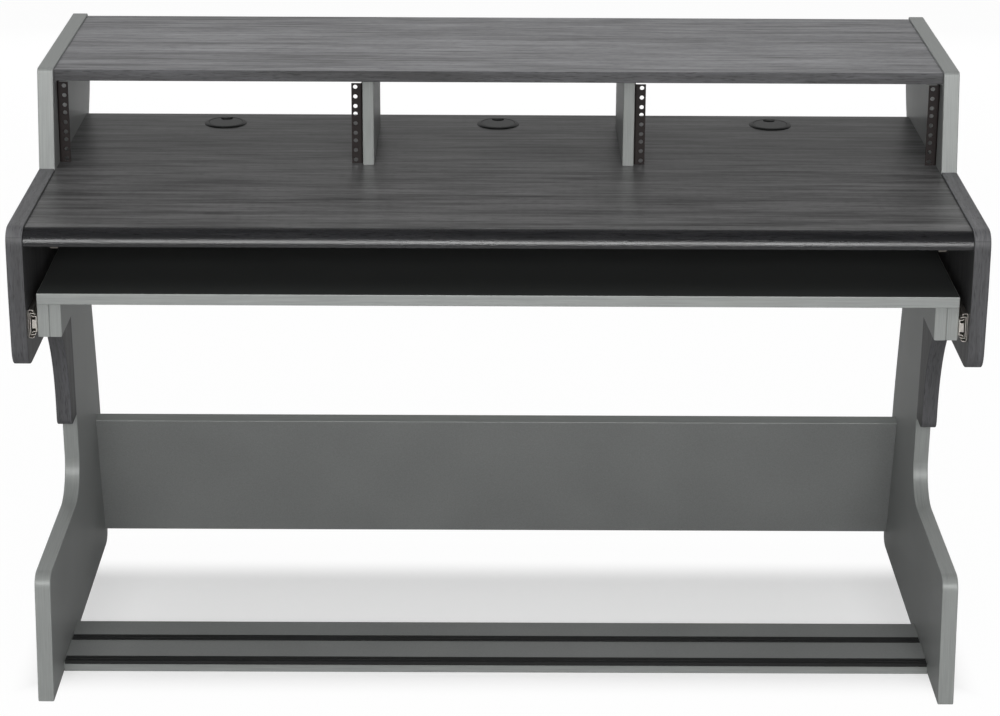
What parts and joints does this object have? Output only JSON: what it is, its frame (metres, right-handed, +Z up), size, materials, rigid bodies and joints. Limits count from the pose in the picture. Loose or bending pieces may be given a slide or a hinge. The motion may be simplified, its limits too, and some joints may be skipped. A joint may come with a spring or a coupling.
{
  "type": "studio desk",
  "caption": "Studio desk with 19-inch rack bays under a top shelf, curved side panels, woodgrain arms, a foot bar and a pull-out keyboard tray on ball-bearing slides.",
  "frame": {"origin": "centre of the footprint of the whole desk, on the floor", "axes": "+X to the right of the person at the desk, along its width; +Y from its front to its back; +Z up"},
  "size_m": [1.462, 0.747, 0.973],
  "materials": {
    "grey_laminate": "satin metallic grey melamine laminate on chipboard, with matching ABS edging",
    "woodgrain_laminate": "dark neutral woodgrain melamine laminate with an embossed matt grain",
    "powder_coated_steel": "black powder coat, fine texture",
    "zinc_plated_steel": "bright zinc plate",
    "bearing_steel": "polished balls in pressed cages",
    "black_abs": "moulded, fine spark texture",
    "ribbed_rubber": "extruded, ribbed, matt"
  },
  "bodies": {
    "root": {"side_panel_left": "grey_laminate", "arm_panel_left": "woodgrain_laminate", "joint_connector_left_1": "zinc_plated_steel", "joint_connector_left_2": "zinc_plated_steel", "side_panel_right": "grey_laminate", "arm_panel_right": "woodgrain_laminate", "joint_connector_right_1": "zinc_plated_steel", "joint_connector_right_2": "zinc_plated_steel", "desktop": "woodgrain_laminate", "front_edge_moulding": "woodgrain_laminate", "moulding_plate_left": "zinc_plated_steel", "moulding_plate_right": "zinc_plated_steel", "top_shelf": "woodgrain_laminate", "rack_divider_left": "grey_laminate", "rack_rail_left_outer": "powder_coated_steel", "rail_screw_left_outer_1": "zinc_plated_steel", "rail_screw_left_outer_2": "zinc_plated_steel", "rack_rail_left_inner": "powder_coated_steel", "rail_screw_left_inner_1": "zinc_plated_steel", "rail_screw_left_inner_2": "zinc_plated_steel", "rack_divider_right": "grey_laminate", "rack_rail_right_outer": "powder_coated_steel", "rail_screw_right_outer_1": "zinc_plated_steel", "rail_screw_right_outer_2": "zinc_plated_steel", "rack_rail_right_inner": "powder_coated_steel", "rail_screw_right_inner_1": "zinc_plated_steel", "rail_screw_right_inner_2": "zinc_plated_steel", "modesty_panel": "grey_laminate", "foot_bar": "grey_laminate", "foot_strip_rear": "ribbed_rubber", "foot_strip_front": "ribbed_rubber", "grommet_liner_left": "black_abs", "grommet_liner_centre": "black_abs", "grommet_liner_right": "black_abs", "slide_outer_left": "zinc_plated_steel", "slide_outer_right": "zinc_plated_steel"},
    "tray": {"keyboard_tray": "grey_laminate", "tray_cleat_left_outer": "grey_laminate", "tray_cleat_left_inner": "grey_laminate", "slide_inner_left": "zinc_plated_steel", "tray_cleat_right_outer": "grey_laminate", "tray_cleat_right_inner": "grey_laminate", "slide_inner_right": "zinc_plated_steel"},
    "grommet_cap_left": {"grommet_cap_left": "black_abs"},
    "grommet_cap_centre": {"grommet_cap_centre": "black_abs"},
    "grommet_cap_right": {"grommet_cap_right": "black_abs"},
    "slide_middle_left": {"slide_middle_left": "zinc_plated_steel"},
    "ball_cage_outer_left": {"ball_cage_outer_left": "bearing_steel"},
    "ball_cage_inner_left": {"ball_cage_inner_left": "bearing_steel"},
    "slide_middle_right": {"slide_middle_right": "zinc_plated_steel"},
    "ball_cage_outer_right": {"ball_cage_outer_right": "bearing_steel"},
    "ball_cage_inner_right": {"ball_cage_inner_right": "bearing_steel"}
  },
  "joints": [
    {"name": "tray_slide", "type": "slide", "parent": "root", "child": "tray", "axis": [0, -1, 0], "range_m": [0, 0.35]},
    {"name": "slide_middle_left_slide", "type": "slide", "parent": "root", "child": "slide_middle_left", "axis": [0, -1, 0], "range_m": [0, 0.175]},
    {"name": "ball_cage_outer_left_slide", "type": "slide", "parent": "root", "child": "ball_cage_outer_left", "axis": [0, -1, 0], "range_m": [0, 0.0875]},
    {"name": "ball_cage_inner_left_slide", "type": "slide", "parent": "root", "child": "ball_cage_inner_left", "axis": [0, -1, 0], "range_m": [0, 0.2625]},
    {"name": "slide_middle_right_slide", "type": "slide", "parent": "root", "child": "slide_middle_right", "axis": [0, -1, 0], "range_m": [0, 0.175]},
    {"name": "ball_cage_outer_right_slide", "type": "slide", "parent": "root", "child": "ball_cage_outer_right", "axis": [0, -1, 0], "range_m": [0, 0.0875]},
    {"name": "ball_cage_inner_right_slide", "type": "slide", "parent": "root", "child": "ball_cage_inner_right", "axis": [0, -1, 0], "range_m": [0, 0.2625]},
    {"name": "grommet_cap_left_turn", "type": "hinge", "parent": "root", "child": "grommet_cap_left", "pos_m": [-0.46175, 0.254, 0.811], "axis": [0, 0, 1], "continuous": true},
    {"name": "grommet_cap_centre_turn", "type": "hinge", "parent": "root", "child": "grommet_cap_centre", "pos_m": [0, 0.254, 0.811], "axis": [0, 0, 1], "continuous": true},
    {"name": "grommet_cap_right_turn", "type": "hinge", "parent": "root", "child": "grommet_cap_right", "pos_m": [0.46175, 0.254, 0.811], "axis": [0, 0, 1], "continuous": true}
  ],
  "couplings": [
    {"joint": "slide_middle_left_slide", "follows": "tray_slide", "ratio": 0.5},
    {"joint": "ball_cage_outer_left_slide", "follows": "tray_slide", "ratio": 0.25},
    {"joint": "ball_cage_inner_left_slide", "follows": "tray_slide", "ratio": 0.75},
    {"joint": "slide_middle_right_slide", "follows": "tray_slide", "ratio": 0.5},
    {"joint": "ball_cage_outer_right_slide", "follows": "tray_slide", "ratio": 0.25},
    {"joint": "ball_cage_inner_right_slide", "follows": "tray_slide", "ratio": 0.75}
  ]
}
